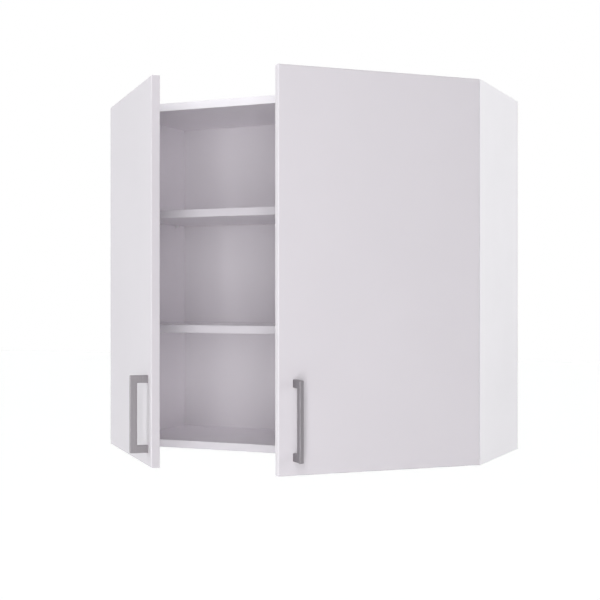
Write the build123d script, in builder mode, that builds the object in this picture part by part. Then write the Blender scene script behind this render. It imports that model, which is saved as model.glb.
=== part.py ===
from build123d import *
from math import cos, radians, sin
import os

os.makedirs("parts", exist_ok=True)

# A straight wall cabinet: two doors on concealed hinges, two shelves and a bow handle on each door.
# Millimetres. X runs to the right, Y back towards the wall and Z up. The origin is on the wall,
# midway between the two hanging holes. Both doors stand open.

# ---- Driving dimensions -----------------------------------------------------------------------

# Carcass
WIDTH = 800.0               # over both side panels
HEIGHT = 716.0
DEPTH = 280.0               # wall to carcass front, without the doors
BOARD = 16.0                # sides, top, bottom and shelves
BAND = 1.0                  # edge band on the front edges
BAND_ROUNDING = 0.5
BACK_BOARD = 3.0
BACK_INSET = 8.0            # wall to the rear face of the back board
GROOVE_DEPTH = 5.0
GROOVE_CLEARANCE = 0.1      # on each face of the back board
BACK_EDGE_CLEARANCE = 0.5   # back board's edges to the groove's floor

# Shelves
SHELF_COUNT = 2
SHELF_SETBACK = 2.0         # behind the carcass front
SHELF_END_CLEARANCE = 0.5
SHELF_REAR_CLEARANCE = 0.8
SHELF_PIN_RADIUS = 2.5
SHELF_PIN_SHANK = 9.0       # length inside the side panel
SHELF_PIN_HEAD_RADIUS = 3.5
SHELF_PIN_HEAD = 8.0        # length under the shelf
SHELF_PIN_DROP = 2.5        # pin axis below the shelf
SHELF_PIN_FROM_FRONT = 37.0
SHELF_PIN_FROM_WALL = 50.0

# Corner joints of top and bottom
CAM_RADIUS = 7.5
CAM_BORE_DEPTH = 12.5
CAM_THICKNESS = 12.0
CAM_FROM_END = 34.0         # cam centre to the end of the panel
CAM_SLOT = 1.6
CAM_SLOT_DEPTH = 1.5
CAM_BOLT_RADIUS = 3.0
CAM_BOLT_CHANNEL_RADIUS = 3.6
CAM_BOLT_THREAD_RADIUS = 2.5
CAM_BOLT_THREAD = 11.0      # length inside the side panel
CAM_FROM_FRONT = 37.0
CAM_FROM_WALL = 60.0
DOWEL_RADIUS = 4.0
DOWEL_IN_SIDE = 11.0
DOWEL_IN_PANEL = 19.0
DOWEL_FROM_CAM = 32.0
JOINT_CLEARANCE = 0.05      # round a dowel, cam or pin in its hole

# Hanging plates, let into the rear corners
HANG_PLATE = 2.0
HANG_PLATE_SIZE = 60.0      # along the side and along the top
HANG_PLATE_MARGIN = 2.0     # from the carcass's outer faces
HANG_HOLE_RADIUS = 4.5
HANG_HOLE_FROM_CORNER = 30.0
HANG_RECESS_CLEARANCE = 0.1
HANG_SCREW_NEAR = 14.0      # screws from the plate's free ends
HANG_SCREW_PITCH = 24.0

# Wood screws
SCREW_RADIUS = 1.75
SCREW_HEAD_RADIUS = 3.5
SCREW_HEAD = 1.7            # height of the countersunk head
SCREW_LENGTH = 15.0
SCREW_RECESS = 0.8          # width of the cross in the head
SCREW_RECESS_DEPTH = 0.9

# Doors
DOOR_BOARD = 16.0
DOOR_GAP = 2.0              # closed door to carcass front
DOOR_REVEAL = 2.0           # carcass showing at the side, top and bottom
DOOR_MIDDLE_GAP = 4.0       # between the two closed doors
DOOR_FRONT_ROUNDING = 2.0
DOOR_BACK_CHAMFER = 0.5
DOOR_OPENING = 46.0         # degrees, as modelled

# Handles
HANDLE_HOLE_SPACING = 128.0
HANDLE_STAND_OFF = 33.0     # door face to the front of the bar
HANDLE_BAR_DEPTH = 13.0
HANDLE_WIDTH = 7.5
HANDLE_LEG = 14.0
HANDLE_ROUNDING = 0.8
HANDLE_CORNER_ROUNDING = 1.2
HANDLE_INNER_ROUNDING = 1.2
HANDLE_FROM_EDGE = 30.5     # handle axis to the door's free edge
HANDLE_FROM_BOTTOM = 32.0   # lower hole to the door's lower edge
HANDLE_SCREW_RADIUS = 1.95
HANDLE_SCREW_HOLE_RADIUS = 2.25
HANDLE_THREAD_RADIUS = 2.0
HANDLE_THREAD_DEPTH = 11.0
HANDLE_SCREW_REACH = 10.0   # screw inside the leg
HANDLE_SCREW_HEAD_RADIUS = 4.0
HANDLE_SCREW_HEAD = 2.2

# Concealed hinges
HINGE_FROM_END = 100.0      # hinge centre to the door's end
LINK_RATIO = -0.4           # link turn for each degree of door turn
HINGE_PIN_RADIUS = 1.25
HINGE_PIN_CLEARANCE = 0.05  # link eye round its pin
ARM_PIN_IN = 12.0           # arm pin to the side panel's inner face
ARM_PIN_FORWARD = 2.0       # arm pin in front of the carcass
CUP_PIN_INSET = 10.0        # cup pin to the door's edge
CUP_PIN_DEPTH = 3.0         # cup pin below the door's back face
CUP_RADIUS = 17.5
CUP_DEPTH = 12.5
CUP_WALL = 1.0
CUP_INSET = 22.0            # cup centre to the door's edge
CUP_FLANGE = 1.2
CUP_FLANGE_RIM = 0.8        # flange beyond the cup wall
CUP_WING_WIDTH = 15.0
CUP_WING_LENGTH = 60.0
CUP_WING_OFFSET = 9.5       # screw line beyond the cup centre
CUP_WING_ROUNDING = 5.0
CUP_SCREW_SPACING = 45.0
CUP_BORE_CLEARANCE = 0.1
CUP_LUG_INNER = 7.0         # lugs that hold the cup pin, above and below the link
CUP_LUG_OUTER = 10.5
CUP_LUG_REACH = 3.0         # lug beyond the pin axis
LINK_HALF_HEIGHT = 6.5
LINK_THICKNESS = 3.6
LINK_EYE_RADIUS = 2.5
LINK_DIP = 7.6              # neck in front of the arm pin
LINK_TURN = 3.5             # neck's first corner, towards the cup pin from the arm pin
LINK_HEEL = 0.6             # neck's second corner, beyond the cup pin
LINK_BEND = 2.2             # centre line radius of its corners
ARM_WALL = 1.5
ARM_INNER_HALF_HEIGHT = 7.0
ARM_NOSE_RADIUS = 3.5
ARM_BACK = 4.0              # arm pin to the outside of the arm's web
ARM_FLANGE_WIDTH = 10.0
ARM_LENGTH = 56.0           # behind the carcass front
ARM_WEB_START = 2.0
ARM_FLANGE_START = 5.0
ARM_SCREW_RADIUS = 2.0
ARM_SCREW_HEAD_RADIUS = 3.8
ARM_SCREW_HEAD = 2.0
ARM_SCREW_LENGTH = 8.0
ARM_SCREW_PLACES = (23.0, 46.0)
RIVET_HEAD_RADIUS = 2.1
RIVET_HEAD = 0.6
PLATE_BASE = 2.0
PLATE_LINE = 37.0           # screw line behind the carcass front
PLATE_WING_WIDTH = 18.0
PLATE_WING_LENGTH = 52.0
PLATE_WING_ROUNDING = 6.0
PLATE_SCREW_SPACING = 32.0
PLATE_RAIL_HALF_HEIGHT = 6.0
PLATE_RAIL_START = 16.0
PLATE_RAIL_END = 54.0

# Bumper pads
PAD_RADIUS = 4.0
PAD_HEIGHT = 1.7
PAD_ROUNDING = 1.2
PAD_FROM_EDGE = 12.0

# ---- Places worked out from them --------------------------------------------------------------

FRONT = -DEPTH
OUTER_X = WIDTH / 2
INNER_X = OUTER_X - BOARD
TOP = HANG_HOLE_FROM_CORNER + HANG_PLATE_MARGIN
BOTTOM = TOP - HEIGHT
INNER_TOP = TOP - BOARD
INNER_BOTTOM = BOTTOM + BOARD
TOP_MIDDLE = TOP - BOARD / 2
BOTTOM_MIDDLE = BOTTOM + BOARD / 2
SHELF_PITCH = HEIGHT / (SHELF_COUNT + 1)
BACK_FRONT = -(BACK_INSET + BACK_BOARD)
CAM_ROWS = (FRONT + CAM_FROM_FRONT, -CAM_FROM_WALL)
DOWEL_ROWS = (FRONT + CAM_FROM_FRONT + DOWEL_FROM_CAM, -CAM_FROM_WALL - DOWEL_FROM_CAM)
SHELF_PIN_ROWS = (FRONT + SHELF_PIN_FROM_FRONT, -SHELF_PIN_FROM_WALL)

HANG_OUTER_X = OUTER_X - HANG_PLATE_MARGIN
HANG_TOP = TOP - HANG_PLATE_MARGIN
HANG_INNER_X = HANG_OUTER_X - HANG_PLATE_SIZE
HANG_BOTTOM = HANG_TOP - HANG_PLATE_SIZE
HANG_SCREWS = [(OUTER_X - BOARD / 2, HANG_BOTTOM + HANG_SCREW_NEAR + step) for step in (0, HANG_SCREW_PITCH)]
HANG_SCREWS += [(HANG_INNER_X + HANG_SCREW_NEAR + step, TOP_MIDDLE) for step in (0, HANG_SCREW_PITCH)]

DOOR_WIDTH = (WIDTH - 2 * DOOR_REVEAL - DOOR_MIDDLE_GAP) / 2
DOOR_HEIGHT = HEIGHT - 2 * DOOR_REVEAL
DOOR_BOTTOM = BOTTOM + DOOR_REVEAL
DOOR_TOP = DOOR_BOTTOM + DOOR_HEIGHT
HINGE_HEIGHTS = {"upper": DOOR_TOP - HINGE_FROM_END, "lower": DOOR_BOTTOM + HINGE_FROM_END}

# The right door turns about its cup pins, which the links carry round the arm pins. Closed, the
# link runs from the arm pin to the cup pin. Opening turns the door one way and the link the other.
ARM_PIN = (INNER_X - ARM_PIN_IN, FRONT - ARM_PIN_FORWARD)
CUP_PIN_CLOSED = (OUTER_X - DOOR_REVEAL - CUP_PIN_INSET, FRONT - DOOR_GAP - CUP_PIN_DEPTH)
LINK_REACH = (CUP_PIN_CLOSED[0] - ARM_PIN[0], CUP_PIN_CLOSED[1] - ARM_PIN[1])
LINK_ANGLE = radians(LINK_RATIO * DOOR_OPENING)
DOOR_ANGLE = radians(DOOR_OPENING)
link_plane = Plane(origin=(*ARM_PIN, 0), x_dir=(cos(LINK_ANGLE), sin(LINK_ANGLE), 0), z_dir=(0, 0, 1))
CUP_PIN = link_plane.from_local_coords((*LINK_REACH, 0))
door_plane = Plane(origin=CUP_PIN, x_dir=(cos(DOOR_ANGLE), sin(DOOR_ANGLE), 0), z_dir=(0, 0, 1))

# On the right door, x runs from the cup pins towards the hinged edge, and these planes face forward.
DOOR_EDGE = CUP_PIN_INSET
door_back = Plane(
    origin=door_plane.from_local_coords((0, CUP_PIN_DEPTH, 0)),
    x_dir=door_plane.x_dir,
    z_dir=-door_plane.y_dir,
)
door_front = door_back.offset(DOOR_BOARD)
CUP_X = DOOR_EDGE - CUP_INSET
CUP_SCREW_X = CUP_X - CUP_WING_OFFSET
HANDLE_X = DOOR_EDGE - DOOR_WIDTH + HANDLE_FROM_EDGE
HANDLE_BOTTOM_HOLE = DOOR_BOTTOM + HANDLE_FROM_BOTTOM
HANDLE_HOLES = (HANDLE_BOTTOM_HOLE, HANDLE_BOTTOM_HOLE + HANDLE_HOLE_SPACING)
PAD_PLACES = [(DOOR_EDGE - DOOR_WIDTH + PAD_FROM_EDGE, z) for z in (BOTTOM_MIDDLE, TOP_MIDDLE)]


# ---- Small helpers ----------------------------------------------------------------------------

def block(low, high, mode=Mode.ADD):
    """Add or cut the box between two corners."""
    with Locations(tuple((a + b) / 2 for a, b in zip(low, high))):
        Box(*[b - a for a, b in zip(low, high)], mode=mode)


def rod(start, direction, radius, length, mode=Mode.ADD):
    """Add or cut a cylinder that runs from a point along a direction."""
    with Locations(Plane(origin=start, z_dir=direction)):
        Cylinder(radius, length, align=(Align.CENTER, Align.CENTER, Align.MIN), mode=mode)


def countersink(start, direction, mode=Mode.ADD):
    """Add or cut a countersunk screw, its head's face at the start."""
    with Locations(Plane(origin=start, z_dir=direction)):
        low = (Align.CENTER, Align.CENTER, Align.MIN)
        Cone(SCREW_HEAD_RADIUS, SCREW_RADIUS, SCREW_HEAD, align=low, mode=mode)
        Cylinder(SCREW_RADIUS, SCREW_LENGTH, align=low, mode=mode)


def cross_recess(start, direction, size, depth):
    """Cut the driver's cross into a screw head."""
    with Locations(Plane(origin=start, z_dir=direction)):
        low = (Align.CENTER, Align.CENTER, Align.MIN)
        Box(size, SCREW_RECESS, depth, align=low, mode=Mode.SUBTRACT)
        Box(SCREW_RECESS, size, depth, align=low, mode=Mode.SUBTRACT)


def keep(piece, name):
    """Label a finished piece and write its file."""
    piece.label = name
    export_step(piece, f"parts/{name}.step")


def keep_pair(piece, name):
    """Keep a right-hand piece and its mirror image on the left."""
    keep(piece, f"right_{name}")
    keep(mirror(piece, about=Plane.YZ), f"left_{name}")


# ---- Carcass ----------------------------------------------------------------------------------

def side_panel():
    """The right side panel, with its groove and its holes."""
    with BuildPart() as panel:
        block((INNER_X, FRONT + BAND, BOTTOM), (OUTER_X, 0, TOP))
        groove_low = (INNER_X, BACK_FRONT - GROOVE_CLEARANCE, BOTTOM)
        groove_high = (INNER_X + GROOVE_DEPTH, -BACK_INSET + GROOVE_CLEARANCE, TOP)
        block(groove_low, groove_high, Mode.SUBTRACT)
        for z in (BOTTOM_MIDDLE, TOP_MIDDLE):
            for y in CAM_ROWS:
                rod((INNER_X, y, z), (1, 0, 0), CAM_BOLT_THREAD_RADIUS, CAM_BOLT_THREAD, Mode.SUBTRACT)
            for y in DOWEL_ROWS:
                rod((INNER_X, y, z), (1, 0, 0), DOWEL_RADIUS, DOWEL_IN_SIDE, Mode.SUBTRACT)
        for shelf in range(SHELF_COUNT):
            z = BOTTOM + SHELF_PITCH * (shelf + 1) - SHELF_PIN_DROP
            for y in SHELF_PIN_ROWS:
                rod((INNER_X, y, z), (1, 0, 0), SHELF_PIN_RADIUS, SHELF_PIN_SHANK, Mode.SUBTRACT)
        for z in plate_screw_heights():
            rod((INNER_X, FRONT + PLATE_LINE, z), (1, 0, 0), SCREW_RADIUS,
                SCREW_LENGTH - PLATE_BASE, Mode.SUBTRACT)
        hanging_recess()
    return panel.part


def plate_screw_heights():
    """Heights of the screws that hold the hinge mounting plates."""
    return [z + step * PLATE_SCREW_SPACING / 2 for z in HINGE_HEIGHTS.values() for step in (-1, 1)]


def hanging_recess():
    """Cut the seat and the screw holes of the right hanging plate into the current panel."""
    gap = HANG_RECESS_CLEARANCE
    low = (HANG_INNER_X - gap, -HANG_PLATE, HANG_BOTTOM - gap)
    block(low, (HANG_OUTER_X + gap, 0, HANG_TOP + gap), Mode.SUBTRACT)
    for x, z in HANG_SCREWS:
        rod((x, -HANG_PLATE, z), (0, -1, 0), SCREW_RADIUS, SCREW_LENGTH - HANG_PLATE, Mode.SUBTRACT)


def cross_panel(low, groove_floor, cam_mouth, outward):
    """The top or the bottom panel: outward is 1 for the top and -1 for the bottom."""
    inner_face = low if outward > 0 else low + BOARD
    middle = low + BOARD / 2
    with BuildPart() as panel:
        block((-INNER_X, FRONT + BAND, low), (INNER_X, 0, low + BOARD))
        groove_low = (-INNER_X, BACK_FRONT - GROOVE_CLEARANCE, min(inner_face, groove_floor))
        groove_high = (INNER_X, -BACK_INSET + GROOVE_CLEARANCE, max(inner_face, groove_floor))
        block(groove_low, groove_high, Mode.SUBTRACT)
        for side in (-1, 1):
            for y in CAM_ROWS:
                cam_x = side * (INNER_X - CAM_FROM_END)
                rod((cam_x, y, cam_mouth), (0, 0, -outward), CAM_RADIUS, CAM_BORE_DEPTH, Mode.SUBTRACT)
                rod((side * INNER_X, y, middle), (-side, 0, 0), CAM_BOLT_CHANNEL_RADIUS,
                    CAM_FROM_END, Mode.SUBTRACT)
            for y in DOWEL_ROWS:
                rod((side * INNER_X, y, middle), (-side, 0, 0), DOWEL_RADIUS, DOWEL_IN_PANEL,
                    Mode.SUBTRACT)
        if outward > 0:
            hanging_recess()
            mirrored_hanging_recess()
    return panel.part


def mirrored_hanging_recess():
    """Cut the left hanging plate's seat into the current panel."""
    gap = HANG_RECESS_CLEARANCE
    low = (-HANG_OUTER_X - gap, -HANG_PLATE, HANG_BOTTOM - gap)
    block(low, (-HANG_INNER_X + gap, 0, HANG_TOP + gap), Mode.SUBTRACT)
    for x, z in HANG_SCREWS:
        rod((-x, -HANG_PLATE, z), (0, -1, 0), SCREW_RADIUS, SCREW_LENGTH - HANG_PLATE, Mode.SUBTRACT)


def edge_band(low, high):
    """A strip on a front edge, with its two long front corners rounded."""
    with BuildPart() as band:
        block(low, high)
        front = band.faces().sort_by(Axis.Y)[0]
        long_side = Axis.X if high[0] - low[0] > high[2] - low[2] else Axis.Z
        fillet(front.edges().filter_by(long_side), radius=min(BAND_ROUNDING, BAND * 0.9))
    return band.part


def shelf(underside):
    """A loose shelf on its pins."""
    with BuildPart() as board:
        half = INNER_X - SHELF_END_CLEARANCE
        block((-half, FRONT + SHELF_SETBACK + BAND, underside),
              (half, BACK_FRONT - SHELF_REAR_CLEARANCE, underside + BOARD))
    return board.part


def shelf_pins(underside):
    """Four pins: a peg in the side panel and a head with a flat top under the shelf."""
    with BuildPart() as pins:
        for side in (-1, 1):
            for y in SHELF_PIN_ROWS:
                start = (side * INNER_X, y, underside - SHELF_PIN_DROP)
                rod(start, (side, 0, 0), SHELF_PIN_RADIUS - JOINT_CLEARANCE, SHELF_PIN_SHANK)
                rod(start, (-side, 0, 0), SHELF_PIN_HEAD_RADIUS, SHELF_PIN_HEAD)
        reach = OUTER_X
        block((-reach, FRONT, underside), (reach, 0, underside + SHELF_PIN_HEAD_RADIUS), Mode.SUBTRACT)
    return pins.part


def cams(mouth, middle, outward):
    """Four cam locks in one panel, each with its channel for the bolt and a slot for a driver."""
    with BuildPart() as locks:
        for side in (-1, 1):
            for y in CAM_ROWS:
                x = side * (INNER_X - CAM_FROM_END)
                floor = mouth - outward * CAM_BORE_DEPTH
                rod((x, y, floor), (0, 0, outward), CAM_RADIUS - JOINT_CLEARANCE, CAM_THICKNESS)
                rod((x, y, middle), (side, 0, 0), CAM_BOLT_CHANNEL_RADIUS, CAM_RADIUS, Mode.SUBTRACT)
                face = floor + outward * CAM_THICKNESS
                slot_low = (x - CAM_RADIUS, y - CAM_SLOT / 2, min(face, face - outward * CAM_SLOT_DEPTH))
                slot_high = (x + CAM_RADIUS, y + CAM_SLOT / 2, max(face, face - outward * CAM_SLOT_DEPTH))
                block(slot_low, slot_high, Mode.SUBTRACT)
    return locks.part


def cam_bolts(middle):
    """Four bolts, screwed into the side panels and held by the cams."""
    with BuildPart() as bolts:
        for side in (-1, 1):
            for y in CAM_ROWS:
                start = (side * INNER_X, y, middle)
                rod(start, (side, 0, 0), CAM_BOLT_THREAD_RADIUS - JOINT_CLEARANCE, CAM_BOLT_THREAD)
                rod(start, (-side, 0, 0), CAM_BOLT_RADIUS, CAM_FROM_END - JOINT_CLEARANCE)
    return bolts.part


def dowels(middle):
    """Four wooden dowels between one panel and the sides."""
    with BuildPart() as pegs:
        for side in (-1, 1):
            for y in DOWEL_ROWS:
                start = (side * (INNER_X - DOWEL_IN_PANEL), y, middle)
                rod(start, (side, 0, 0), DOWEL_RADIUS - JOINT_CLEARANCE, DOWEL_IN_PANEL + DOWEL_IN_SIDE)
    return pegs.part


def back_panel():
    """The back board, in the grooves of the sides, top and bottom."""
    reach = GROOVE_DEPTH - BACK_EDGE_CLEARANCE
    with BuildPart() as board:
        low = (-INNER_X - reach, BACK_FRONT, INNER_BOTTOM - reach)
        block(low, (INNER_X + reach, -BACK_INSET, INNER_TOP + reach))
    return board.part


def hanging_plate():
    """The right hanging plate: a steel corner plate with a round hole over the gap behind the back."""
    outline = [
        (HANG_OUTER_X, HANG_TOP),
        (HANG_INNER_X, HANG_TOP),
        (HANG_INNER_X, INNER_TOP),
        (INNER_X, HANG_BOTTOM),
        (HANG_OUTER_X, HANG_BOTTOM),
    ]
    with BuildPart() as plate:
        with BuildSketch(Plane.XZ):
            Polygon(*outline, align=None)
        extrude(amount=HANG_PLATE)
        hole = (HANG_OUTER_X - HANG_HOLE_FROM_CORNER, 0, HANG_TOP - HANG_HOLE_FROM_CORNER)
        rod(hole, (0, -1, 0), HANG_HOLE_RADIUS, HANG_PLATE, Mode.SUBTRACT)
        for x, z in HANG_SCREWS:
            countersink((x, 0, z), (0, -1, 0), Mode.SUBTRACT)
    return plate.part


def hanging_screws():
    """The screws of both hanging plates."""
    with BuildPart() as screws:
        for side in (-1, 1):
            for x, z in HANG_SCREWS:
                countersink((side * x, 0, z), (0, -1, 0))
                cross_recess((side * x, 0, z), (0, -1, 0), SCREW_HEAD_RADIUS, SCREW_RECESS_DEPTH)
    return screws.part


# ---- Hinges -----------------------------------------------------------------------------------

def mounting_plate(z):
    """A cross-shaped plate on the side panel, with a rail that the arm sits over."""
    with BuildPart() as plate:
        with BuildSketch(Plane(origin=(INNER_X, FRONT + PLATE_LINE, z), x_dir=(0, 1, 0), z_dir=(-1, 0, 0))):
            RectangleRounded(PLATE_WING_WIDTH, PLATE_WING_LENGTH, PLATE_WING_ROUNDING)
        extrude(amount=PLATE_BASE)
        rail_top = ARM_PIN[0] - ARM_BACK + ARM_WALL
        block((rail_top, FRONT + PLATE_RAIL_START, z - PLATE_RAIL_HALF_HEIGHT),
              (INNER_X, FRONT + PLATE_RAIL_END, z + PLATE_RAIL_HALF_HEIGHT))
        for step in (-1, 1):
            head = (INNER_X - PLATE_BASE, FRONT + PLATE_LINE, z + step * PLATE_SCREW_SPACING / 2)
            countersink(head, (1, 0, 0), Mode.SUBTRACT)
        for place in ARM_SCREW_PLACES:
            rod((rail_top, FRONT + place, z), (1, 0, 0), ARM_SCREW_RADIUS, ARM_SCREW_LENGTH, Mode.SUBTRACT)
    return plate.part


def mounting_screws():
    """The screws of the right mounting plates."""
    with BuildPart() as screws:
        for z in plate_screw_heights():
            head = (INNER_X - PLATE_BASE, FRONT + PLATE_LINE, z)
            countersink(head, (1, 0, 0))
            cross_recess(head, (1, 0, 0), SCREW_HEAD_RADIUS, SCREW_RECESS_DEPTH)
    return screws.part


def hinge_arm(z):
    """The fixed arm: a channel over the mounting plate, its two cheeks carrying the arm pin."""
    back = ARM_PIN[0] - ARM_BACK
    cheek_front = back + ARM_FLANGE_WIDTH
    rear = FRONT + ARM_LENGTH
    cheek = [
        (ARM_PIN[0] - ARM_NOSE_RADIUS, ARM_PIN[1]),
        (back, FRONT + ARM_FLANGE_START),
        (back, rear),
        (cheek_front, rear),
        (cheek_front, FRONT + ARM_FLANGE_START),
        (ARM_PIN[0] + ARM_NOSE_RADIUS, ARM_PIN[1]),
    ]
    with BuildPart() as arm:
        for low in (z - ARM_INNER_HALF_HEIGHT - ARM_WALL, z + ARM_INNER_HALF_HEIGHT):
            with BuildSketch(Plane.XY.offset(low)):
                Polygon(*cheek, align=None)
                with Locations(ARM_PIN):
                    Circle(ARM_NOSE_RADIUS)
                    Circle(HINGE_PIN_RADIUS, mode=Mode.SUBTRACT)
            extrude(amount=ARM_WALL)
        half = ARM_INNER_HALF_HEIGHT + ARM_WALL
        block((back, FRONT + ARM_WEB_START, z - half), (back + ARM_WALL, rear, z + half))
        for place in ARM_SCREW_PLACES:
            rod((back, FRONT + place, z), (1, 0, 0), ARM_SCREW_RADIUS, ARM_WALL, Mode.SUBTRACT)
    return arm.part


def arm_screws():
    """The screws that clamp both right arms to their plates."""
    back = ARM_PIN[0] - ARM_BACK
    with BuildPart() as screws:
        for z in HINGE_HEIGHTS.values():
            for place in ARM_SCREW_PLACES:
                head = (back, FRONT + place, z)
                rod(head, (-1, 0, 0), ARM_SCREW_HEAD_RADIUS, ARM_SCREW_HEAD)
                rod(head, (1, 0, 0), ARM_SCREW_RADIUS - JOINT_CLEARANCE, ARM_SCREW_LENGTH)
                top = (back - ARM_SCREW_HEAD, FRONT + place, z)
                cross_recess(top, (1, 0, 0), ARM_SCREW_HEAD_RADIUS, SCREW_RECESS_DEPTH)
    return screws.part


def arm_pins():
    """The riveted pins in the noses of the right arms."""
    half = ARM_INNER_HALF_HEIGHT + ARM_WALL
    with BuildPart() as pins:
        for z in HINGE_HEIGHTS.values():
            rod((*ARM_PIN, z - half), (0, 0, 1), HINGE_PIN_RADIUS, 2 * half)
            rod((*ARM_PIN, z + half), (0, 0, 1), RIVET_HEAD_RADIUS, RIVET_HEAD)
            rod((*ARM_PIN, z - half), (0, 0, -1), RIVET_HEAD_RADIUS, RIVET_HEAD)
    return pins.part


def hinge_link(z):
    """The gooseneck link: it dips into the cup and round its rim, from the arm pin to the cup pin."""
    neck = [(0, 0), (LINK_TURN, -LINK_DIP), (LINK_REACH[0] + LINK_HEEL, -LINK_DIP), LINK_REACH]
    with BuildPart() as link:
        with BuildSketch(link_plane.offset(z - LINK_HALF_HEIGHT)):
            with BuildLine():
                FilletPolyline(*neck, radius=LINK_BEND)
            trace(line_width=LINK_THICKNESS)
            with Locations((0, 0), LINK_REACH):
                Circle(LINK_EYE_RADIUS)
                Circle(HINGE_PIN_RADIUS + HINGE_PIN_CLEARANCE, mode=Mode.SUBTRACT)
        extrude(amount=2 * LINK_HALF_HEIGHT)
    return link.part


def hinge_cup(z):
    """The cup: a pressed bowl with a screwed flange and two lugs that hold the cup pin."""
    lug_height = CUP_LUG_OUTER - CUP_LUG_INNER
    with BuildPart() as cup:
        with BuildSketch(door_back.offset(-CUP_FLANGE)):
            with Locations((CUP_X, z)):
                Circle(CUP_RADIUS + CUP_FLANGE_RIM)
            with Locations((CUP_SCREW_X, z)):
                RectangleRounded(CUP_WING_WIDTH, CUP_WING_LENGTH, CUP_WING_ROUNDING)
        extrude(amount=CUP_FLANGE)
        with BuildSketch(door_back):
            with Locations((CUP_X, z)):
                Circle(CUP_RADIUS)
        extrude(amount=CUP_DEPTH)
        with BuildSketch(door_back.offset(-CUP_FLANGE)):
            with Locations((CUP_X, z)):
                Circle(CUP_RADIUS - CUP_WALL)
            for step in (-1, 1):
                with Locations((-CUP_LUG_REACH, z + step * (CUP_LUG_INNER + lug_height / 2))):
                    Rectangle(CUP_RADIUS, lug_height, align=(Align.MIN, Align.CENTER), mode=Mode.SUBTRACT)
        extrude(amount=CUP_FLANGE + CUP_DEPTH - CUP_WALL, mode=Mode.SUBTRACT)
        rod(door_plane.from_local_coords((0, 0, z - CUP_LUG_OUTER)), (0, 0, 1), HINGE_PIN_RADIUS,
            2 * CUP_LUG_OUTER, Mode.SUBTRACT)
        for step in (-1, 1):
            countersink(cup_screw_head(z + step * CUP_SCREW_SPACING / 2), door_back.z_dir, Mode.SUBTRACT)
    return cup.part


def cup_screw_head(z):
    """The face of a cup screw's head, flush with the flange."""
    return door_back.from_local_coords((CUP_SCREW_X, z, -CUP_FLANGE))


def cup_screw_heights():
    """Heights of the screws of both cups on one door."""
    return [z + step * CUP_SCREW_SPACING / 2 for z in HINGE_HEIGHTS.values() for step in (-1, 1)]


def cup_screws():
    """The screws of the right cups."""
    with BuildPart() as screws:
        for z in cup_screw_heights():
            countersink(cup_screw_head(z), door_back.z_dir)
            cross_recess(cup_screw_head(z), door_back.z_dir, SCREW_HEAD_RADIUS, SCREW_RECESS_DEPTH)
    return screws.part


def cup_pins():
    """The pins in the lugs of the right cups."""
    with BuildPart() as pins:
        for z in HINGE_HEIGHTS.values():
            start = door_plane.from_local_coords((0, 0, z - CUP_LUG_OUTER))
            rod(start, (0, 0, 1), HINGE_PIN_RADIUS, 2 * CUP_LUG_OUTER)
    return pins.part


# ---- Doors ------------------------------------------------------------------------------------

def door_panel():
    """The right door panel, with its cup bores and screw holes."""
    facing = Axis((0, 0, 0), tuple(door_back.z_dir))
    with BuildPart() as panel:
        with BuildSketch(door_back):
            with Locations((DOOR_EDGE, DOOR_BOTTOM)):
                Rectangle(DOOR_WIDTH, DOOR_HEIGHT, align=(Align.MAX, Align.MIN))
        extrude(amount=DOOR_BOARD)
        fillet(panel.faces().sort_by(facing)[-1].edges(), radius=DOOR_FRONT_ROUNDING)
        chamfer(panel.faces().sort_by(facing)[0].edges(), length=DOOR_BACK_CHAMFER)
        with BuildSketch(door_back):
            with Locations(*[(CUP_X, z) for z in HINGE_HEIGHTS.values()]):
                Circle(CUP_RADIUS + CUP_BORE_CLEARANCE)
        extrude(amount=CUP_DEPTH + CUP_BORE_CLEARANCE, mode=Mode.SUBTRACT)
        for z in cup_screw_heights():
            countersink(cup_screw_head(z), door_back.z_dir, Mode.SUBTRACT)
        with BuildSketch(door_back):
            with Locations(*[(HANDLE_X, z) for z in HANDLE_HOLES]):
                Circle(HANDLE_SCREW_HOLE_RADIUS)
        extrude(amount=DOOR_BOARD, mode=Mode.SUBTRACT)
    return panel.part


def handle():
    """The right bow handle: a square bar on two square legs, its edges eased, with two threaded holes."""
    length = HANDLE_HOLE_SPACING + HANDLE_LEG
    middle = (HANDLE_HOLES[0] + HANDLE_HOLES[1]) / 2
    side_origin = door_front.from_local_coords((HANDLE_X + HANDLE_WIDTH / 2, middle, 0))
    side = Plane(origin=side_origin, x_dir=door_front.z_dir, z_dir=-door_front.x_dir)
    across = Axis((0, 0, 0), tuple(door_front.x_dir))
    outward = Axis(tuple(door_front.origin), tuple(door_front.z_dir))
    with BuildPart() as bow:
        with BuildSketch(side):
            Rectangle(HANDLE_STAND_OFF, length, align=(Align.MIN, Align.CENTER))
            Rectangle(HANDLE_STAND_OFF - HANDLE_BAR_DEPTH, HANDLE_HOLE_SPACING - HANDLE_LEG,
                      align=(Align.MIN, Align.CENTER), mode=Mode.SUBTRACT)
        extrude(amount=HANDLE_WIDTH)
        corners = bow.edges().filter_by(across).group_by(outward)
        fillet(corners[1], radius=HANDLE_INNER_ROUNDING)
        corners = bow.edges().filter_by(across).group_by(outward)
        fillet(corners[-1], radius=HANDLE_CORNER_ROUNDING)
        sides = bow.faces().sort_by(across)
        rims = sides[0].edges() + sides[-1].edges()
        seat = [rim for rim in rims if abs(door_front.to_local_coords(rim.center()).Z) < HANDLE_ROUNDING / 2]
        fillet([rim for rim in rims if rim not in seat], radius=HANDLE_ROUNDING)
        with BuildSketch(door_front):
            with Locations(*[(HANDLE_X, z) for z in HANDLE_HOLES]):
                Circle(HANDLE_THREAD_RADIUS)
        extrude(amount=HANDLE_THREAD_DEPTH, mode=Mode.SUBTRACT)
    return bow.part


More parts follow.
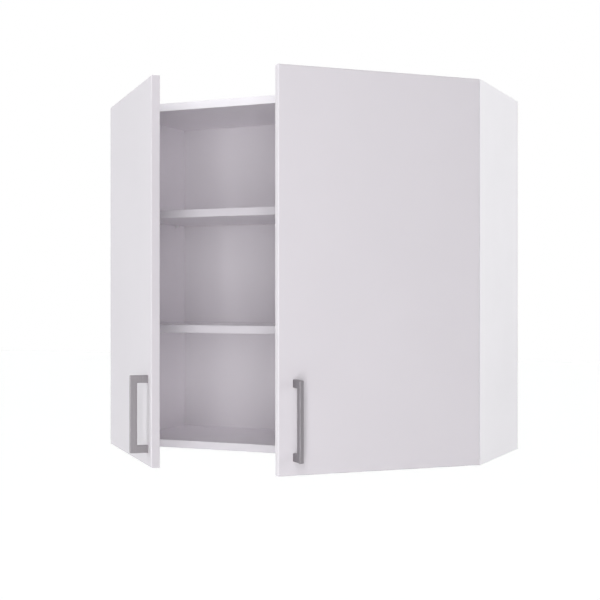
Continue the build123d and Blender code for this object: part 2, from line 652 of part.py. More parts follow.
def handle_screws():
    """The two screws that hold the right handle, from behind the door."""
    with BuildPart() as screws:
        for z in HANDLE_HOLES:
            head = door_back.from_local_coords((HANDLE_X, z, 0))
            rod(head, door_back.z_dir, HANDLE_SCREW_RADIUS, DOOR_BOARD + HANDLE_SCREW_REACH)
            rod(head, -door_back.z_dir, HANDLE_SCREW_HEAD_RADIUS, HANDLE_SCREW_HEAD)
            top = door_back.from_local_coords((HANDLE_X, z, -HANDLE_SCREW_HEAD))
            cross_recess(top, door_back.z_dir, HANDLE_SCREW_HEAD_RADIUS, SCREW_RECESS_DEPTH)
    return screws.part


def bumper_pads():
    """Two soft domes on the back of the right door, near its free edge."""
    with BuildPart() as pads:
        with BuildSketch(door_back):
            with Locations(*PAD_PLACES):
                Circle(PAD_RADIUS)
        extrude(amount=-PAD_HEIGHT)
        facing = Axis((0, 0, 0), tuple(door_back.z_dir))
        fillet(pads.faces().sort_by(facing)[:2].edges(), radius=PAD_ROUNDING)
    return pads.part


# ---- Make and keep every piece ----------------------------------------------------------------

keep_pair(side_panel(), "side_panel")
keep(cross_panel(INNER_TOP, INNER_TOP + GROOVE_DEPTH, TOP, 1), "top_panel")
keep(cross_panel(BOTTOM, INNER_BOTTOM - GROOVE_DEPTH, BOTTOM, -1), "bottom_panel")
keep(back_panel(), "back_panel")

keep_pair(edge_band((INNER_X, FRONT, BOTTOM), (OUTER_X, FRONT + BAND, TOP)), "side_edge_band")
keep(edge_band((-INNER_X, FRONT, INNER_TOP), (INNER_X, FRONT + BAND, TOP)), "top_edge_band")
keep(edge_band((-INNER_X, FRONT, BOTTOM), (INNER_X, FRONT + BAND, INNER_BOTTOM)), "bottom_edge_band")

for number, shelf_name in enumerate(("lower_shelf", "upper_shelf"), start=1):
    underside = BOTTOM + SHELF_PITCH * number
    half = INNER_X - SHELF_END_CLEARANCE
    shelf_front = FRONT + SHELF_SETBACK
    band_high = (half, shelf_front + BAND, underside + BOARD)
    keep(shelf(underside), shelf_name)
    keep(edge_band((-half, shelf_front, underside), band_high), f"{shelf_name}_edge_band")
    keep(shelf_pins(underside), f"{shelf_name}_pins")

for joint, mouth, middle, outward in (
    ("top", TOP, TOP_MIDDLE, 1),
    ("bottom", BOTTOM, BOTTOM_MIDDLE, -1),
):
    keep(cams(mouth, middle, outward), f"{joint}_cam_locks")
    keep(cam_bolts(middle), f"{joint}_cam_bolts")
    keep(dowels(middle), f"{joint}_dowels")

keep_pair(hanging_plate(), "hanging_plate")
keep(hanging_screws(), "hanging_plate_screws")

for level, hinge_height in HINGE_HEIGHTS.items():
    keep_pair(mounting_plate(hinge_height), f"{level}_mounting_plate")
    keep_pair(hinge_arm(hinge_height), f"{level}_hinge_arm")
    keep_pair(hinge_link(hinge_height), f"{level}_hinge_link")
    keep_pair(hinge_cup(hinge_height), f"{level}_hinge_cup")
keep_pair(mounting_screws(), "mounting_plate_screws")
keep_pair(arm_screws(), "hinge_arm_screws")
keep_pair(arm_pins(), "arm_pins")
keep_pair(cup_pins(), "cup_pins")
keep_pair(cup_screws(), "cup_screws")

keep_pair(door_panel(), "door_panel")
keep_pair(handle(), "handle")
keep_pair(handle_screws(), "handle_screws")
keep_pair(bumper_pads(), "bumper_pads")
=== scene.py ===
"""A straight wall cabinet with two doors, standing open, dressed and lit as in a studio.

The boards, doors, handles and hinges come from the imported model. This script gives each of
them the finish of the real piece, and adds the floor, the light and the camera.
"""

import logging
import math
from dataclasses import dataclass
from enum import Enum
from typing import Any

import bpy
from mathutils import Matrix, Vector

Colour = tuple[float, float, float, float]
Triple = tuple[float, float, float]
Stops = tuple[tuple[float, str], ...]
Node = bpy.types.Node
Nodes = bpy.types.NodeTree
Socket = bpy.types.NodeSocket
Material = bpy.types.Material

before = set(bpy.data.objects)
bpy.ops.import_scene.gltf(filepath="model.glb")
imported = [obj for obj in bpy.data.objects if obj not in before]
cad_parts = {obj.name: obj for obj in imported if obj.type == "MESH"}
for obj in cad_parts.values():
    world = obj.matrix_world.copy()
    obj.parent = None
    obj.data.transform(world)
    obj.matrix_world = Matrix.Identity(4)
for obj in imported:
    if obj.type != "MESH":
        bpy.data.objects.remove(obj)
log = logging.getLogger("wall_cabinet")

MM = 0.001
# How far ahead of a board's rear face its bare material starts.
BARE_DEPTH = 0.4 * MM
# Most of a noise lies between these two values.
NOISE_LOW = 0.3
NOISE_HIGH = 0.7


# ---- Small helpers -------------------------------------------------------------------------------


def linear(hex_colour: str) -> Colour:
    """Turns an sRGB hex colour into linear light.

    Args:
        hex_colour: Six hex digits after a hash.

    Returns:
        Red, green, blue and alpha, each from 0 to 1.
    """
    parts = [int(hex_colour[i : i + 2], 16) / 255 for i in (1, 3, 5)]
    red, green, blue = (c / 12.92 if c <= 0.04045 else ((c + 0.055) / 1.055) ** 2.4 for c in parts)
    return red, green, blue, 1.0


def grey(value: float) -> Colour:
    """A linear grey."""
    return value, value, value, 1.0


def emptied(owner: Material | bpy.types.World) -> Nodes:
    """Gives a material or a world a node tree with nothing in it.

    Args:
        owner: The material or the world.

    Returns:
        Its empty tree.
    """
    owner.use_nodes = True
    owner.node_tree.nodes.clear()
    return owner.node_tree


def add_node(
    tree: Nodes,
    kind: str,
    settings: dict[str, Any] | None = None,
    **sockets: Any,
) -> Node:
    """Adds one node with its settings, values and links.

    Args:
        tree: The node tree that takes the node.
        kind: Blender's name of the node type.
        settings: Attributes to set before the sockets are filled.
        **sockets: An input's name, spaces written as underscores, or in_0, in_1 for a place,
            with a value or with the output socket that feeds it.

    Returns:
        The new node.
    """
    node = tree.nodes.new(kind)
    for name, value in (settings or {}).items():
        setattr(node, name, value)
    for name, value in sockets.items():
        place = int(name[3:]) if name.startswith("in_") else name.replace("_", " ")
        target = node.inputs[place]
        if isinstance(value, bpy.types.NodeSocket):
            tree.links.new(value, target)
        else:
            target.default_value = value
    return node


def feed(tree: Nodes, shader: Node, **outputs: Socket) -> None:
    """Links patterns to a shader.

    Args:
        tree: The node tree.
        shader: The shader.
        **outputs: An input's name, spaces written as underscores, with the output that feeds it.
    """
    for name, output in outputs.items():
        tree.links.new(output, shader.inputs[name.replace("_", " ")])


def ramp(tree: Nodes, factor: Socket, stops: Stops) -> Socket:
    """Maps a factor to colours.

    Args:
        tree: The node tree.
        factor: The socket that drives the ramp.
        stops: Positions from 0 to 1 with their sRGB colours.

    Returns:
        The colour output.
    """
    node = add_node(tree, "ShaderNodeValToRGB", in_0=factor)
    elements = node.color_ramp.elements
    while len(elements) < len(stops):
        elements.new(0.5)
    for element, (position, colour) in zip(elements, stops):
        element.position = position
        element.color = linear(colour)
    return node.outputs["Color"]


def noise(
    tree: Nodes,
    place: Socket,
    size_mm: float,
    detail: float = 3.0,
    rough: float = 0.55,
) -> Socket:
    """A noise whose blotches are about one size.

    Args:
        tree: The node tree.
        place: The position, in metres.
        size_mm: How wide one blotch is.
        detail: Octaves of finer noise.
        rough: How strong the finer noise is.

    Returns:
        The noise's value, about 0.5 on the whole.
    """
    scale = 1 / (size_mm * MM)
    kind = "ShaderNodeTexNoise"
    node = add_node(tree, kind, Vector=place, Scale=scale, Detail=detail, Roughness=rough)
    return node.outputs["Fac"]


def stretched(tree: Nodes, place: Socket, scale: Triple) -> Socket:
    """Scales the position along each axis, so that a noise becomes grain or brushing."""
    return add_node(tree, "ShaderNodeMapping", Vector=place, Scale=scale).outputs["Vector"]


def spread(tree: Nodes, value: Socket, low: float, high: float) -> Socket:
    """Maps the middle range of a noise onto another range.

    Args:
        tree: The node tree.
        value: The noise.
        low: What its low parts become.
        high: What its high parts become.

    Returns:
        The mapped value.
    """
    node = add_node(tree, "ShaderNodeMapRange", Value=value, To_Min=low, To_Max=high)
    node.inputs["From Min"].default_value = NOISE_LOW
    node.inputs["From Max"].default_value = NOISE_HIGH
    return node.outputs["Result"]


def bump(tree: Nodes, shader: Node, height: Socket, depth_mm: float, strength: float) -> None:
    """Feeds a height pattern to a shader's normal.

    Args:
        tree: The node tree.
        shader: The shader.
        height: The pattern.
        depth_mm: How deep it is.
        strength: The share of the depth that is drawn.
    """
    depth = depth_mm * MM
    node = add_node(tree, "ShaderNodeBump", Height=height, Distance=depth, Strength=strength)
    feed(tree, shader, Normal=node.outputs["Normal"])


def mixed(tree: Nodes, factor: Socket, first: Socket | Colour, second: Socket | Colour) -> Socket:
    """Mixes two colours, or two greys that stand for a value.

    Args:
        tree: The node tree.
        factor: 0 for the first colour and 1 for the second.
        first: The first colour.
        second: The second colour.

    Returns:
        The colour output.
    """
    settings = {"data_type": "RGBA"}
    node = add_node(tree, "ShaderNodeMix", settings, in_0=factor, in_6=first, in_7=second)
    return node.outputs[2]


def lit_or_white(tree: Nodes, lit: Node, white: Node) -> Socket:
    """Shows white to the rays that see the surroundings: straight, reflected or through plastic.

    Args:
        tree: The node tree.
        lit: The shader that all other rays find.
        white: The shader that the seeing rays find.

    Returns:
        The shader output.
    """
    rays = add_node(tree, "ShaderNodeLightPath").outputs
    seen = rays["Is Camera Ray"]
    larger = {"operation": "MAXIMUM"}
    for ray in ("Is Glossy Ray", "Is Transmission Ray"):
        seen = add_node(tree, "ShaderNodeMath", larger, in_0=seen, in_1=rays[ray]).outputs[0]
    shaders = {"in_1": lit.outputs[0], "in_2": white.outputs[0]}
    return add_node(tree, "ShaderNodeMixShader", in_0=seen, **shaders).outputs[0]


class Across(Enum):
    """The axis of the object's frame that a pattern or a cut face is measured along."""

    X = 0
    Y = 1
    Z = 2


def beyond(tree: Nodes, place: Socket, axis: Across, limit: float) -> Socket:
    """Tells one side of a plane from the other.

    Args:
        tree: The node tree.
        place: The position, in metres.
        axis: The axis that the plane is square to.
        limit: Where the plane stands, in metres.

    Returns:
        1 beyond the plane and 0 before it.
    """
    parts = add_node(tree, "ShaderNodeSeparateXYZ", Vector=place)
    settings = {"operation": "GREATER_THAN"}
    side = add_node(tree, "ShaderNodeMath", settings, in_0=parts.outputs[axis.value], in_1=limit)
    return side.outputs[0]


def placed(name: str, data: bpy.types.ID) -> bpy.types.Object:
    """Makes an object from its data and puts it into the scene.

    Args:
        name: The object's name.
        data: Its mesh, lamp or camera.

    Returns:
        The object.
    """
    made = bpy.data.objects.new(name, data)
    bpy.context.collection.objects.link(made)
    return made


# ---- Finishes ------------------------------------------------------------------------------------


@dataclass(frozen=True)
class Finish:
    """One real material with its surface.

    Attributes:
        name: The material's plain name.
        colour: Its sRGB colour.
        roughness: Its roughness before any pattern.
        metallic: 1 for bare metal.
        ior: Index of refraction; a metal keeps the default.
    """

    name: str
    colour: str
    roughness: float
    metallic: float = 0.0
    ior: float = 1.5

    def start(self) -> tuple[Material, Nodes, Node, Socket]:
        """Makes the material with a principled shader.

        Returns:
            The material, its tree, the shader and the position in the object's frame, in metres.
        """
        material = bpy.data.materials.new(self.name)
        tree = emptied(material)
        look = {"Base_Color": linear(self.colour), "Roughness": self.roughness}
        shader = add_node(tree, "ShaderNodeBsdfPrincipled", Metallic=self.metallic, **look)
        if not self.metallic:
            shader.inputs["IOR"].default_value = self.ior
        out = add_node(tree, "ShaderNodeOutputMaterial", Surface=shader.outputs["BSDF"])
        out.is_active_output = True
        place = add_node(tree, "ShaderNodeTexCoord").outputs["Object"]
        return material, tree, shader, place

    def tinted(self, tree: Nodes, pattern: Socket, share: float) -> Socket:
        """Darkens the colour where a pattern is high.

        Args:
            tree: The material's tree.
            pattern: The noise.
            share: The share of its light that the colour keeps there.

        Returns:
            The colour output.
        """
        red, green, blue, alpha = linear(self.colour)
        dark = (red * share, green * share, blue * share, alpha)
        return mixed(tree, spread(tree, pattern, 0.0, 1.0), linear(self.colour), dark)

    def varied(self, tree: Nodes, pattern: Socket, below: float, above: float) -> Socket:
        """The roughness, from a step below its own value to a step above with a pattern."""
        return spread(tree, pattern, self.roughness - below, self.roughness + above)


@dataclass(frozen=True)
class FacedBoard(Finish):
    """White melamine-faced chipboard: a satin pressed skin over bare chips on the rear edges.

    Attributes:
        pearl_mm: Pitch of the pressed pearl texture; the real 0.3 mm is drawn coarser, to show.
        pearl_depth_mm: Its depth.
        cloud_mm: Size of the faint clouds in the white.
        cloud_share: The share of its light that the white keeps in a cloud.
        chip_mm: Size of a chip.
        chip_flatness: How much wider than high a chip lies.
        chip_roughness: Roughness of the sawn edge.
        chip_tones: The chips' sRGB colours, from 0 to 1.
    """

    pearl_mm: float = 0.9
    pearl_depth_mm: float = 0.02
    cloud_mm: float = 160.0
    cloud_share: float = 0.975
    chip_mm: float = 2.6
    chip_flatness: float = 1.6
    chip_roughness: float = 0.85
    chip_tones: Stops = ((0.0, "#8f6b45"), (0.45, "#b8935f"), (0.8, "#cfae7c"), (1.0, "#dcc297"))

    def make(self, bare_from: float) -> Material:
        """Builds the material.

        Args:
            bare_from: Along Y, in metres, where the sawn rear edge starts.

        Returns:
            The material.
        """
        material, tree, shader, place = self.start()
        pearl = noise(tree, place, self.pearl_mm, detail=2.0)
        cloud = noise(tree, place, self.cloud_mm, detail=2.0)
        skin = self.tinted(tree, cloud, self.cloud_share)
        rough = self.varied(tree, pearl, below=0.05, above=0.06)
        bare = beyond(tree, place, Across.Y, bare_from)
        skin = mixed(tree, bare, skin, self.chips(tree, place))
        rough = mixed(tree, bare, rough, grey(self.chip_roughness))
        feed(tree, shader, Base_Color=skin, Roughness=rough)
        bump(tree, shader, pearl, self.pearl_depth_mm, strength=0.35)
        return material

    def chips(self, tree: Nodes, place: Socket) -> Socket:
        """The sawn edge of chipboard: flat-lying chips in light and dark browns.

        Args:
            tree: The material's tree.
            place: The position, in metres.

        Returns:
            The colour output.
        """
        flat = stretched(tree, place, (1.0, 1.0, self.chip_flatness))
        cells = add_node(tree, "ShaderNodeTexVoronoi", Vector=flat, Scale=1 / (self.chip_mm * MM))
        parts = add_node(tree, "ShaderNodeSeparateColor", Color=cells.outputs["Color"])
        return ramp(tree, parts.outputs[0], self.chip_tones)


@dataclass(frozen=True)
class BackBoard(Finish):
    """Hardboard: white lacquer on the inside, brown pressed fibres on the wall side.

    Attributes:
        bare: The bare board's sRGB colour.
        fibre: The sRGB colour of its darker fibres.
        fibre_mm: Size of a tuft of fibres.
        fibre_flatness: How much wider than high a tuft lies.
        fibre_depth_mm: Depth of the pressed fibres.
        bare_roughness: Roughness of the bare side.
    """

    bare: str = "#8a6a4a"
    fibre: str = "#70543a"
    fibre_mm: float = 3.0
    fibre_flatness: float = 1.4
    fibre_depth_mm: float = 0.03
    bare_roughness: float = 0.7

    def make(self, bare_from: float) -> Material:
        """Builds the material.

        Args:
            bare_from: Along Y, in metres, where the bare side starts.

        Returns:
            The material.
        """
        material, tree, shader, place = self.start()
        flat = stretched(tree, place, (1.0, 1.0, self.fibre_flatness))
        fibres = noise(tree, flat, self.fibre_mm, detail=6.0, rough=0.75)
        high = spread(tree, fibres, 0.0, 1.0)
        brown = mixed(tree, high, linear(self.bare), linear(self.fibre))
        bare = beyond(tree, place, Across.Y, bare_from)
        skin = mixed(tree, bare, linear(self.colour), brown)
        rough = mixed(tree, bare, grey(self.roughness), grey(self.bare_roughness))
        feed(tree, shader, Base_Color=skin, Roughness=rough)
        bump(tree, shader, fibres, self.fibre_depth_mm, strength=0.3)
        return material


@dataclass(frozen=True)
class SatinFoil(Finish):
    """White foil or edge band, satin to matt: nearly flat, with a very faint orange peel.

    Attributes:
        peel_mm: Pitch of the orange peel.
        peel_depth_mm: Its depth.
        cloud_mm: Size of the faint clouds in the white.
        cloud_share: The share of its light that the white keeps in a cloud.
    """

    peel_mm: float = 2.2
    peel_depth_mm: float = 0.02
    cloud_mm: float = 220.0
    cloud_share: float = 0.98

    def make(self) -> Material:
        """Builds the material.

        Returns:
            The material.
        """
        material, tree, shader, place = self.start()
        peel = noise(tree, place, self.peel_mm, detail=2.0, rough=0.4)
        cloud = noise(tree, place, self.cloud_mm, detail=2.0)
        skin = self.tinted(tree, cloud, self.cloud_share)
        feed(tree, shader, Base_Color=skin, Roughness=self.varied(tree, peel, below=0.04, above=0.04))
        bump(tree, shader, peel, self.peel_depth_mm, strength=0.25)
        return material


@dataclass(frozen=True)
class BrushedMetal(Finish):
    """Metal brushed along one axis: long fine scratches in its roughness and its normal.

    Attributes:
        metallic: 1 for bare metal.
        along: The axis of the brushing.
        line_mm: Width of a scratch; the real 0.1 mm is drawn coarser, to show.
        line_depth_mm: Its depth.
        line_share: The share of its light that the metal keeps in a scratch.
        shrink: How much the position is squeezed along the scratches, which lengthens them.
    """

    metallic: float = 1.0
    along: Across = Across.Z
    line_mm: float = 0.45
    line_depth_mm: float = 0.01
    line_share: float = 0.86
    shrink: float = 0.03

    def make(self) -> Material:
        """Builds the material.

        Returns:
            The material.
        """
        material, tree, shader, place = self.start()
        scale = tuple(self.shrink if axis is self.along else 1.0 for axis in Across)
        lines = noise(tree, stretched(tree, place, scale), self.line_mm, detail=4.0, rough=0.6)
        skin = self.tinted(tree, lines, self.line_share)
        feed(tree, shader, Base_Color=skin, Roughness=self.varied(tree, lines, below=0.07, above=0.09))
        bump(tree, shader, lines, self.line_depth_mm, strength=0.3)
        return material


@dataclass(frozen=True)
class PlatedSteel(Finish):
    """Plated steel or cast zinc: smooth, with faint clouds from the bath and a few small marks.

    Attributes:
        metallic: 1 for bare metal.
        cloud_mm: Size of the clouds.
        cloud_share: The share of its light that the metal keeps in a cloud.
        mark_mm: Size of a handling mark.
        mark_depth_mm: Its depth.
    """

    metallic: float = 1.0
    cloud_mm: float = 5.0
    cloud_share: float = 0.94
    mark_mm: float = 0.8
    mark_depth_mm: float = 0.006

    def make(self) -> Material:
        """Builds the material.

        Returns:
            The material.
        """
        material, tree, shader, place = self.start()
        cloud = noise(tree, place, self.cloud_mm, detail=2.0, rough=0.5)
        skin = self.tinted(tree, cloud, self.cloud_share)
        feed(tree, shader, Base_Color=skin, Roughness=self.varied(tree, cloud, below=0.03, above=0.05))
        marks = noise(tree, place, self.mark_mm, detail=2.0)
        bump(tree, shader, marks, self.mark_depth_mm, strength=0.15)
        return material


@dataclass(frozen=True)
class TurnedBeech(Finish):
    """Plain beech: straight pale grain along X, with short dark flecks.

    Attributes:
        fleck: The flecks' sRGB colour.
        pale: The sRGB colour of the palest grain.
        grain_mm: Width of a line of grain.
        grain_depth_mm: Its depth.
        shrink: How much the position is squeezed along the grain, which lengthens it.
    """

    fleck: str = "#a97e52"
    pale: str = "#dbb88a"
    grain_mm: float = 0.9
    grain_depth_mm: float = 0.05
    shrink: float = 0.08

    def make(self) -> Material:
        """Builds the material.

        Returns:
            The material.
        """
        material, tree, shader, place = self.start()
        long = stretched(tree, place, (self.shrink, 1.0, 1.0))
        grain = noise(tree, long, self.grain_mm, detail=4.0, rough=0.6)
        stops = ((0.35, self.fleck), (0.5, self.colour), (0.7, self.pale))
        feed(tree, shader, Base_Color=ramp(tree, grain, stops))
        bump(tree, shader, grain, self.grain_depth_mm, strength=0.4)
        return material


@dataclass(frozen=True)
class MouldedPlastic(Finish):
    """White moulded polyamide: an even fine spark-eroded grain and a low satin gloss.

    Attributes:
        grain_mm: Pitch of the grain; the real 0.1 mm is drawn coarser, to show.
        grain_depth_mm: Its depth.
    """

    grain_mm: float = 0.3
    grain_depth_mm: float = 0.01

    def make(self) -> Material:
        """Builds the material.

        Returns:
            The material.
        """
        material, tree, shader, place = self.start()
        grain = noise(tree, place, self.grain_mm, detail=2.0)
        feed(tree, shader, Roughness=self.varied(tree, grain, below=0.05, above=0.05))
        bump(tree, shader, grain, self.grain_depth_mm, strength=0.3)
        return material


@dataclass(frozen=True)
class SoftPad(Finish):
    """Clear soft polyurethane: glossy, a little see-through, slightly milky.

    Attributes:
        see_through: The share of the light that goes through.
        haze_mm: Size of the patches in its gloss.
    """

    see_through: float = 0.45
    haze_mm: float = 1.5

    def make(self) -> Material:
        """Builds the material.

        Returns:
            The material.
        """
        material, tree, shader, place = self.start()
        shader.inputs["Transmission Weight"].default_value = self.see_through
        haze = noise(tree, place, self.haze_mm)
        feed(tree, shader, Roughness=self.varied(tree, haze, below=0.04, above=0.06))
        return material


# ---- Sub-assemblies ------------------------------------------------------------------------------


def dress(node: str, material: Material) -> None:
    """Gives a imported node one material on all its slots.

    Args:
        node: The node's name.
        material: What it gets.
    """
    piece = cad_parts[node]
    if not piece.material_slots:
        piece.data.materials.append(material)
    for place in piece.material_slots:
        place.material = material
    log.info("dressed %s with %s", node, material.name)


def bare_rear(node: str) -> float:
    """Where the bare rear of a packed board starts along Y, in metres."""
    return max(corner[Across.Y.value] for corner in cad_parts[node].bound_box) - BARE_DEPTH


@dataclass
class Carcass:
    """The fixed box: sides, top, bottom, shelves, back, edge bands and their joints.

    Attributes:
        board: The boards that reach the wall, with sawn rear edges.
        shelf_board: The shelves, banded at the front.
        back: The back board.
        band: The edge bands.
        plates: The hanging plates.
        screws: Wood screws and cam bolts.
        cams: The cam locks.
        dowels: The dowels.
        pins: The shelf pins.
    """

    board: FacedBoard = FacedBoard("melamine_faced_chipboard", "#f7f3f8", 0.52)
    shelf_board: FacedBoard = FacedBoard("melamine_faced_shelf", "#f7f3f8", 0.52)
    back: BackBoard = BackBoard("lacquered_hardboard", "#e5e1e6", 0.52)
    band: SatinFoil = SatinFoil("abs_edge_band", "#e6e2e8", 0.42, peel_mm=1.5)
    plates: PlatedSteel = PlatedSteel("zinc_plated_sheet", "#b9babd", 0.36, cloud_mm=4.0)
    screws: PlatedSteel = PlatedSteel("zinc_plated_screw", "#c2c3c4", 0.3, cloud_mm=2.0)
    cams: PlatedSteel = PlatedSteel("die_cast_zinc", "#9a9ba0", 0.48, cloud_mm=2.5)
    dowels: TurnedBeech = TurnedBeech("beech_dowel", "#c9a270", 0.6)
    pins: MouldedPlastic = MouldedPlastic("white_polyamide", "#eceaec", 0.4, ior=1.53)

    def build(self) -> None:
        """Dresses every node of the carcass."""
        board = self.board.make(bare_rear("left_side_panel"))
        for node in ("left_side_panel", "right_side_panel", "top_panel", "bottom_panel"):
            dress(node, board)
        shelf_board = self.shelf_board.make(bare_rear("upper_shelf"))
        band = self.band.make()
        for level in ("upper", "lower"):
            dress(f"{level}_shelf", shelf_board)
            dress(f"{level}_shelf_edge_band", band)
        for place in ("left_side", "right_side", "top", "bottom"):
            dress(f"{place}_edge_band", band)
        dress("back_panel", self.back.make(bare_rear("back_panel")))
        self.join()

    def join(self) -> None:
        """Dresses the fastenings."""
        plates, screws = self.plates.make(), self.screws.make()
        cams, dowels = self.cams.make(), self.dowels.make()
        for side in ("left", "right"):
            dress(f"{side}_hanging_plate", plates)
        dress("hanging_plate_screws", screws)
        for joint in ("top", "bottom"):
            dress(f"{joint}_cam_locks", cams)
            dress(f"{joint}_cam_bolts", screws)
            dress(f"{joint}_dowels", dowels)
        pins = self.pins.make()
        for level in ("upper", "lower"):
            dress(f"{level}_shelf_pins", pins)


@dataclass
class Hinges:
    """The concealed hinges: plates and arms on the sides, links, and cups in the doors.

    Attributes:
        nickel: The pressed and cast parts.
        pins: Pins and screws.
    """

    nickel: PlatedSteel = PlatedSteel("nickel_plated_steel", "#c4c0ba", 0.26)
    pins: PlatedSteel = PlatedSteel("bright_steel_pin", "#b4b4b4", 0.3, cloud_mm=1.5)

    def build(self) -> None:
        """Dresses every node of the hinges."""
        nickel, pins = self.nickel.make(), self.pins.make()
        pressed = ("mounting_plate", "hinge_arm", "hinge_link", "hinge_cup")
        turned = ("mounting_plate_screws", "hinge_arm_screws", "arm_pins", "cup_pins", "cup_screws")
        for side in ("left", "right"):
            for level in ("upper", "lower"):
                for part in pressed:
                    dress(f"{side}_{level}_{part}", nickel)
            for part in turned:
                dress(f"{side}_{part}", pins)


@dataclass
class Doors:
    """The two doors with their bow handles.

    Attributes:
        panel: The door board's skin.
        handle: The handles.
        screws: The handles' screws.
        pads: The bumper pads.
    """

    panel: SatinFoil = SatinFoil("matt_white_foil", "#d2cdd3", 0.62)
    handle: BrushedMetal = BrushedMetal("brushed_satin_steel", "#878387", 0.38)
    screws: PlatedSteel = PlatedSteel("machine_screw_steel", "#b8b8b8", 0.32, cloud_mm=2.0)
    pads: SoftPad = SoftPad("clear_polyurethane", "#e9e9e6", 0.18, ior=1.49)

    def build(self) -> None:
        """Dresses every node of both doors."""
        panel, handle = self.panel.make(), self.handle.make()
        screws, pads = self.screws.make(), self.pads.make()
        for side in ("left", "right"):
            dress(f"{side}_door_panel", panel)
            dress(f"{side}_handle", handle)
            dress(f"{side}_handle_screws", screws)
            dress(f"{side}_bumper_pads", pads)


# ---- Studio --------------------------------------------------------------------------------------


@dataclass(frozen=True)
class Softbox:
    """One large soft lamp far from the cabinet.

    Attributes:
        name: The lamp's name.
        towards: The direction that its light comes from.
        strength: Its strength, in watts per square metre.
        colour: Its sRGB colour.
        angle: How wide it looks, in degrees.
    """

    name: str
    towards: Triple
    strength: float
    colour: str = "#ffffff"
    angle: float = 60.0

    def build(self) -> None:
        """Makes the lamp."""
        data = bpy.data.lights.new(self.name, "SUN")
        data.energy = self.strength
        data.color = linear(self.colour)[:3]
        data.angle = math.radians(self.angle)
        lamp = placed(self.name, data)
        lamp.rotation_euler = Vector(self.towards).to_track_quat("Z", "Y").to_euler()


@dataclass(frozen=True)
class StripSoftbox:
    """A tall softbox near the camera, whose light reaches the back between the doors.

    Attributes:
        name: The lamp's name.
        middle_z: Height of its middle, in metres.
        height: Its height, in metres.
        watts: Its power.
        turn: How far round to the right of straight ahead it stands, in degrees.
        distance: How far from the cabinet's front, in metres.
        width: Its width, in metres.
        target: What it is aimed at, in metres: about the middle of the carcass's front.
    """

    name: str
    middle_z: float
    height: float
    watts: float
    turn: float = 22.5
    distance: float = 3.5
    width: float = 1.3
    target: Triple = (0.0, -0.28, -0.33)

    def build(self) -> None:
        """Makes the lamp and aims it between the doors."""
        data = bpy.data.lights.new(self.name, "AREA")
        data.shape = "RECTANGLE"
        data.size = self.width
        data.size_y = self.height
        data.energy = self.watts
        lamp = placed(self.name, data)
        turn = math.radians(self.turn)
        away = Vector((math.sin(turn), -math.cos(turn), 0.0)) * self.distance
        target = Vector(self.target)
        lamp.location = Vector((target.x + away.x, target.y + away.y, self.middle_z))
        lamp.rotation_euler = (lamp.location - target).to_track_quat("Z", "Y").to_euler()
        lamp.visible_camera = False


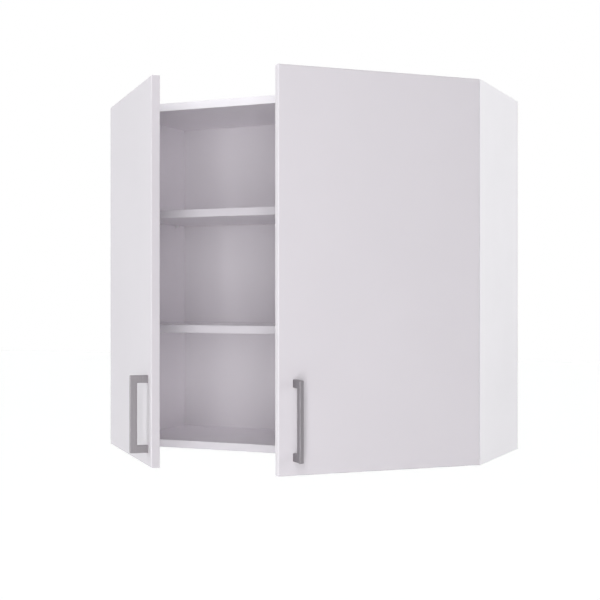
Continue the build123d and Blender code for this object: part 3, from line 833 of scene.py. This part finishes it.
@dataclass
class Studio:
    """The floor, the soft light and the camera.

    Attributes:
        floor_z: Height of the floor under the hung cabinet, in metres.
        floor_size: Side of the floor, in metres.
        floor_grey: The share of the light that the floor gives back.
        floor_lift: What is added to the lit floor, so that it just reaches white.
        ambient: Strength of the even light from all round.
        eye: The camera's place, in metres.
        turn: How far the camera is turned to the left of +Y, in degrees.
        focal_px: Focal length in pixels.
        frame_px: Width of the frame in pixels.
        sensor_mm: Width of the camera's sensor.
        sight: How far the camera sees, in metres.
        lamps: The soft lamps far off.
        strips: The strip softboxes near the camera.
    """

    floor_z: float = -2.05
    floor_size: float = 60.0
    floor_grey: float = 0.8
    floor_lift: float = 0.66
    ambient: float = 0.05
    eye: Triple = (1.02171, -2.45358, -0.37743)
    turn: float = 24.449
    focal_px: float = 1207.03
    frame_px: float = 600.0
    sensor_mm: float = 36.0
    sight: float = 200.0
    lamps: tuple[Softbox, ...] = (
        Softbox("left_softbox", towards=(-0.8, -0.55, 0.1), strength=3.15, colour="#fbfffd"),
        Softbox("right_rear_softbox", towards=(0.8, 0.6, 0.1), strength=2.05, colour="#fcfffe"),
        Softbox("overhead_softbox", towards=(0.0, -0.2, 1.0), strength=0.3),
    )
    strips: tuple[StripSoftbox, ...] = (
        StripSoftbox("upper_strip_softbox", middle_z=1.5, height=2.3, watts=38.0),
        StripSoftbox("lower_strip_softbox", middle_z=-0.8, height=2.3, watts=61.0),
    )

    def build(self) -> None:
        """Makes the floor, the world, the lamps and the camera."""
        self.floor()
        self.world()
        for lamp in (*self.lamps, *self.strips):
            lamp.build()
        self.camera()

    def floor(self) -> None:
        """Makes a plain pale floor: its own light and shadow, lifted to white where it is seen."""
        half = self.floor_size / 2
        square = ((-half, -half), (half, -half), (half, half), (-half, half))
        mesh = bpy.data.meshes.new("floor")
        mesh.from_pydata([(x, y, self.floor_z) for x, y in square], [], [(0, 1, 2, 3)])
        floor = placed("floor", mesh)
        material = bpy.data.materials.new("pale_studio_floor")
        tree = emptied(material)
        matt = add_node(tree, "ShaderNodeBsdfDiffuse", Color=grey(self.floor_grey))
        lift = add_node(tree, "ShaderNodeEmission", Color=grey(1.0), Strength=self.floor_lift)
        white = add_node(tree, "ShaderNodeAddShader", in_0=matt.outputs[0], in_1=lift.outputs[0])
        add_node(tree, "ShaderNodeOutputMaterial", Surface=lit_or_white(tree, matt, white))
        mesh.materials.append(material)

    def world(self) -> None:
        """Makes an even world: white where it is seen, and a little light on the object."""
        world = bpy.data.worlds.new("studio")
        bpy.context.scene.world = world
        tree = emptied(world)
        light = add_node(tree, "ShaderNodeBackground", Color=grey(1.0), Strength=self.ambient)
        white = add_node(tree, "ShaderNodeBackground", Color=grey(1.0), Strength=1.0)
        add_node(tree, "ShaderNodeOutputWorld", Surface=lit_or_white(tree, light, white))

    def camera(self) -> None:
        """Sets the level camera at the photograph's viewing angle."""
        data = bpy.data.cameras.new("camera")
        data.sensor_width = self.sensor_mm
        data.lens = self.focal_px / self.frame_px * self.sensor_mm
        data.clip_end = self.sight
        camera = placed("camera", data)
        camera.location = self.eye
        camera.rotation_euler = (math.radians(90), 0, math.radians(self.turn))
        bpy.context.scene.camera = camera


def main() -> None:
    """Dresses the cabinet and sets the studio."""
    logging.basicConfig(level=logging.INFO, format="%(name)s: %(message)s")
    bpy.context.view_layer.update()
    for part in (Carcass(), Hinges(), Doors(), Studio()):
        part.build()
        log.info("built %s", type(part).__name__)
    bpy.context.scene.view_settings.view_transform = "Standard"


if __name__ == "__main__":
    main()
